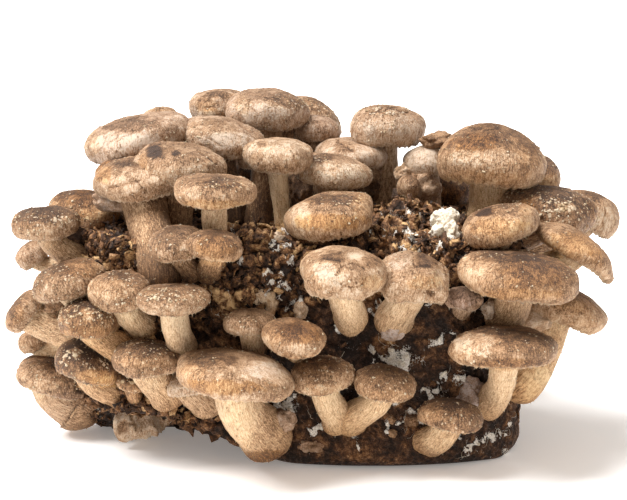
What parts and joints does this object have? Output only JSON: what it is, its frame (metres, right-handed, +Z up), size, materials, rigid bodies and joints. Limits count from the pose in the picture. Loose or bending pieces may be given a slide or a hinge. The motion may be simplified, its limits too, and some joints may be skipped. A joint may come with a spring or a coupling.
{
  "type": "shiitake log",
  "caption": "Pressed sawdust growing block with a flat base, crowded on every side with domed brown shiitake mushrooms on thick pale stems.",
  "frame": {"origin": "middle of the growing block's flat underside", "axes": "+X along the block to the right of its best side, +Y away from that side, +Z up"},
  "size_m": [0.3227, 0.2503, 0.1725],
  "materials": {
    "spent_sawdust": "rough, crumbly, dark",
    "shiitake": "dry matt flesh"
  },
  "bodies": {
    "root": {"sawdust_block": "spent_sawdust", "mushroom_front_big": "shiitake", "mushroom_front_hidden": "shiitake", "mushroom_front_upper_left": "shiitake", "mushroom_front_upper_round": "shiitake", "mushroom_front_twins": "shiitake", "mushroom_front_low": "shiitake", "mushroom_front_right_flat": "shiitake", "mushroom_front_centre_left": "shiitake", "mushroom_front_centre_right": "shiitake", "mushroom_front_right_big": "shiitake", "mushroom_front_right_stunted": "shiitake", "mushroom_right_low": "shiitake", "mushroom_right_drooping": "shiitake", "mushroom_right_leaning_left": "shiitake", "mushroom_right_flecked": "shiitake", "mushroom_right_outer": "shiitake", "mushroom_top_great_dome": "shiitake", "mushroom_top_pale_button": "shiitake", "mushroom_top_behind_dome": "shiitake", "mushroom_top_shaded": "shiitake", "mushroom_top_knob": "shiitake", "mushroom_top_ragged": "shiitake", "mushroom_top_stack_back": "shiitake", "mushroom_top_stack_middle": "shiitake", "mushroom_top_stack_front": "shiitake", "mushroom_top_tall": "shiitake", "mushroom_top_back_right": "shiitake", "mushroom_top_back_hook": "shiitake", "mushroom_top_back_left": "shiitake", "mushroom_top_pale_slant": "shiitake", "mushroom_top_left_long": "shiitake", "mushroom_top_left_peeping": "shiitake", "mushroom_top_patched": "shiitake", "mushroom_top_left_brown": "shiitake", "mushroom_top_left_thick": "shiitake", "mushroom_top_front_table": "shiitake", "mushroom_top_front_pair": "shiitake", "mushroom_left_back_brown": "shiitake", "mushroom_left_upper": "shiitake", "mushroom_left_pale": "shiitake", "mushroom_left_speckled": "shiitake", "mushroom_left_middle": "shiitake", "mushroom_left_parasol": "shiitake", "mushroom_left_outer": "shiitake", "mushroom_left_outer_small": "shiitake", "mushroom_left_flecked": "shiitake", "mushroom_left_dark": "shiitake", "mushroom_left_front": "shiitake", "mushroom_left_foot": "shiitake", "mushroom_left_tiny": "shiitake", "mushroom_left_stunted": "shiitake", "mushroom_back_left": "shiitake", "mushroom_back_middle": "shiitake", "mushroom_back_right": "shiitake", "mushroom_back_upper_right": "shiitake", "mushroom_back_low_left": "shiitake", "mushroom_back_low_middle": "shiitake", "mushroom_back_low_right": "shiitake"}
  },
  "joints": []
}
